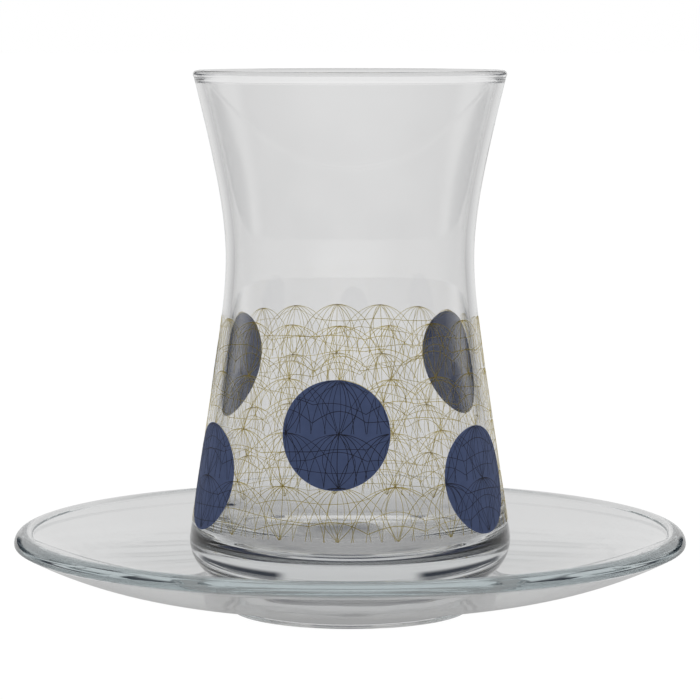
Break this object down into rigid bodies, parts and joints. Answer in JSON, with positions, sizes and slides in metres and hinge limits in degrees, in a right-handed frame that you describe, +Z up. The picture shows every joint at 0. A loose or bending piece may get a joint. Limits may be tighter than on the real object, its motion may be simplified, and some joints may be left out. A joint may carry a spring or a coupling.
{
  "type": "tea glass with saucer",
  "caption": "Empty clear waisted tea glass with a flared beaded rim and a thick rounded base, standing on a shallow clear glass saucer with a foot ring.",
  "frame": {"origin": "on the table, at the centre of the saucer's foot ring", "axes": "+Z up along the common axis of glass and saucer; -Y towards the viewer of the picture; +X to that viewer's right"},
  "size_m": [0.12, 0.12, 0.0964],
  "materials": {
    "clear_glass": "fire-polished clear glass with a fired-on print",
    "saucer_glass": "polished clear glass, faint blue-green at the edge"
  },
  "bodies": {
    "root": {"tea_glass": "clear_glass", "saucer": "saucer_glass"}
  },
  "joints": []
}
